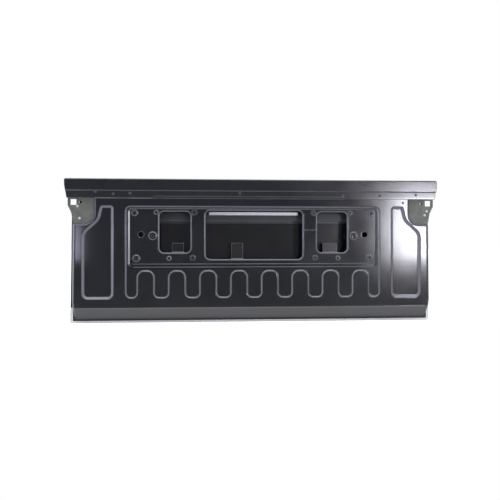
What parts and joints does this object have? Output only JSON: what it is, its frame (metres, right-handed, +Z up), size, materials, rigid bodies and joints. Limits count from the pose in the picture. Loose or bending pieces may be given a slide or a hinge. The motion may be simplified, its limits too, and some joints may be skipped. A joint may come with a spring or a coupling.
{
  "type": "pickup truck tailgate shell",
  "caption": "Pressed steel tailgate shell of a pickup truck, bed side with wavy recess, access openings, top rail and latch corners.",
  "frame": {"origin": "centre of the flat hinge seat in the left side wall", "axes": "+X along the gate to the right as seen from the load bed, +Y from the bed side to the outer skin, +Z up with the gate closed"},
  "size_m": [1.476, 0.081, 0.5688],
  "materials": {
    "panel_ecoat": "satin black electrocoat",
    "skin_ecoat": "satin black electrocoat",
    "rail_ecoat": "satin black electrocoat",
    "inner_ecoat": "satin black electrocoat",
    "latch_phosphate": "matt grey-green primer",
    "sealer": "pale cured seam sealer",
    "nut_zinc": "zinc",
    "insert_nylon": "black nylon"
  },
  "bodies": {
    "root": {"cross_stiffener": "inner_ecoat", "handle_reinforcement": "inner_ecoat", "hem_sealer": "sealer", "hinge_plate_left": "inner_ecoat", "hinge_plate_right": "inner_ecoat", "inner_panel": "panel_ecoat", "latch_plate_left": "latch_phosphate", "latch_plate_right": "latch_phosphate", "outer_skin": "skin_ecoat", "rail_end_left": "inner_ecoat", "rail_end_right": "inner_ecoat", "square_insert_lower_left": "insert_nylon", "square_insert_lower_right": "insert_nylon", "square_insert_upper_left": "insert_nylon", "square_insert_upper_right": "insert_nylon", "support_bracket_centre": "inner_ecoat", "support_bracket_left": "inner_ecoat", "support_bracket_right": "inner_ecoat", "top_rail": "rail_ecoat", "weld_nut_lower_left": "nut_zinc", "weld_nut_lower_right": "nut_zinc", "weld_nut_middle_left": "nut_zinc", "weld_nut_middle_right": "nut_zinc", "weld_nut_upper_left": "nut_zinc", "weld_nut_upper_right": "nut_zinc"}
  },
  "joints": []
}
